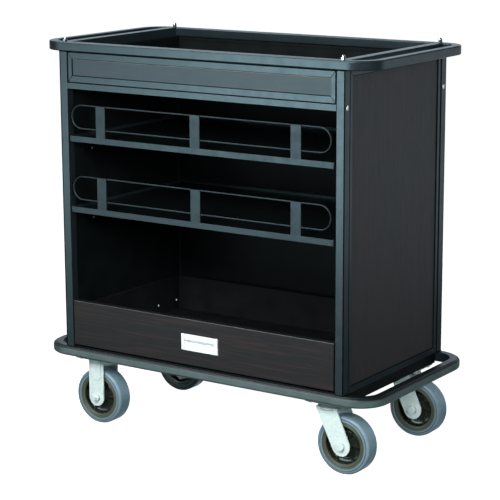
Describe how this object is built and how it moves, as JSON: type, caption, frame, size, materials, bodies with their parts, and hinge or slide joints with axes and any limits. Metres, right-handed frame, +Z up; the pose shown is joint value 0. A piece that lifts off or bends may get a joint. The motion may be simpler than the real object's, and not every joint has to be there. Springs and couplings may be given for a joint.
{
  "type": "food service trolley",
  "caption": "Wheeled cabinet trolley with an open front, guarded shelves, a pull-out drawer, a top bin and a tube ring that serves as push handle",
  "frame": {"origin": "on the floor, below the middle of the trolley's bounding box", "axes": "+Z up, +X along the long side towards the swivel casters, -Y out of the open front"},
  "size_m": [1.034, 0.518, 1.047],
  "materials": {
    "frame_paint": "satin slate powder coat",
    "steel_paint": "satin slate powder coat",
    "black_steel": "semi-matt black powder coat",
    "black_laminate": "matt black laminate",
    "black_board": "matt black laminated board",
    "walnut": "dark walnut laminate",
    "chrome": "polished",
    "satin_metal": "satin",
    "zinc_steel": "bright zinc plated",
    "bumper_rubber": "matt grey",
    "tyre_rubber": "satin blue-grey",
    "hub_plastic": "moulded olive grey"
  },
  "bodies": {
    "cabinet": {"post_front_left": "frame_paint", "post_front_right": "frame_paint", "post_rear_left": "frame_paint", "post_rear_right": "frame_paint", "top_ring": "frame_paint", "cross_bars": "frame_paint", "apron_frame": "frame_paint", "end_frame_left": "frame_paint", "end_frame_right": "frame_paint", "back_frame": "frame_paint", "frame_rails": "frame_paint", "upper_shelf": "steel_paint", "lower_shelf": "steel_paint", "guard_straps": "steel_paint", "upper_guard_wire": "steel_paint", "lower_guard_wire": "steel_paint", "top_bin": "black_steel", "shelf_cleats": "black_steel", "base_ring": "black_steel", "base_cross_rails": "black_steel", "base_deck": "black_steel", "inner_liners": "black_laminate", "apron_panel": "walnut", "end_panel_left": "walnut", "end_panel_right": "walnut", "back_panel": "walnut", "cap_nuts": "chrome", "cabinet_screws": "chrome", "corner_studs": "zinc_steel", "slide_outer_members": "zinc_steel", "swivel_plates": "zinc_steel", "caster_bolts": "zinc_steel", "rigid_axles": "zinc_steel", "fork_front_left": "zinc_steel", "fork_rear_left": "zinc_steel", "base_bumper": "bumper_rubber"},
    "drawer": {"drawer_front": "walnut", "drawer_sides": "black_board", "drawer_back": "black_board", "drawer_floor": "black_board", "drawer_pull": "satin_metal", "drawer_screws": "zinc_steel", "slide_inner_members": "zinc_steel"},
    "slide_middles": {"slide_middle_members": "zinc_steel"},
    "swivel_front_right": {"fork_front_right": "zinc_steel", "axle_front_right": "zinc_steel"},
    "swivel_rear_right": {"fork_rear_right": "zinc_steel", "axle_rear_right": "zinc_steel"},
    "wheel_front_left": {"tyre_front_left": "tyre_rubber", "hub_front_left": "hub_plastic", "bearing_front_left": "zinc_steel"},
    "wheel_rear_left": {"tyre_rear_left": "tyre_rubber", "hub_rear_left": "hub_plastic", "bearing_rear_left": "zinc_steel"},
    "wheel_front_right": {"tyre_front_right": "tyre_rubber", "hub_front_right": "hub_plastic", "bearing_front_right": "zinc_steel"},
    "wheel_rear_right": {"tyre_rear_right": "tyre_rubber", "hub_rear_right": "hub_plastic", "bearing_rear_right": "zinc_steel"}
  },
  "joints": [
    {"name": "drawer_slide", "type": "slide", "parent": "cabinet", "child": "drawer", "axis": [0, -1, 0], "range_m": [0, 0.42]},
    {"name": "slide_middle_travel", "type": "slide", "parent": "cabinet", "child": "slide_middles", "axis": [0, -1, 0], "range_m": [0, 0.21]},
    {"name": "swivel_front_right", "type": "hinge", "parent": "cabinet", "child": "swivel_front_right", "pos_m": [0.365, -0.183, 0.168], "axis": [0, 0, 1], "continuous": true},
    {"name": "swivel_rear_right", "type": "hinge", "parent": "cabinet", "child": "swivel_rear_right", "pos_m": [0.365, 0.183, 0.168], "axis": [0, 0, 1], "continuous": true},
    {"name": "wheel_front_left_spin", "type": "hinge", "parent": "cabinet", "child": "wheel_front_left", "pos_m": [-0.365, -0.183, 0.075], "axis": [0, 1, 0], "continuous": true},
    {"name": "wheel_rear_left_spin", "type": "hinge", "parent": "cabinet", "child": "wheel_rear_left", "pos_m": [-0.365, 0.183, 0.075], "axis": [0, 1, 0], "continuous": true},
    {"name": "wheel_front_right_spin", "type": "hinge", "parent": "swivel_front_right", "child": "wheel_front_right", "pos_m": [0.405, -0.183, 0.075], "axis": [0, 1, 0], "continuous": true},
    {"name": "wheel_rear_right_spin", "type": "hinge", "parent": "swivel_rear_right", "child": "wheel_rear_right", "pos_m": [0.405, 0.183, 0.075], "axis": [0, 1, 0], "continuous": true}
  ],
  "couplings": [
    {"joint": "slide_middle_travel", "follows": "drawer_slide", "ratio": 0.5}
  ]
}
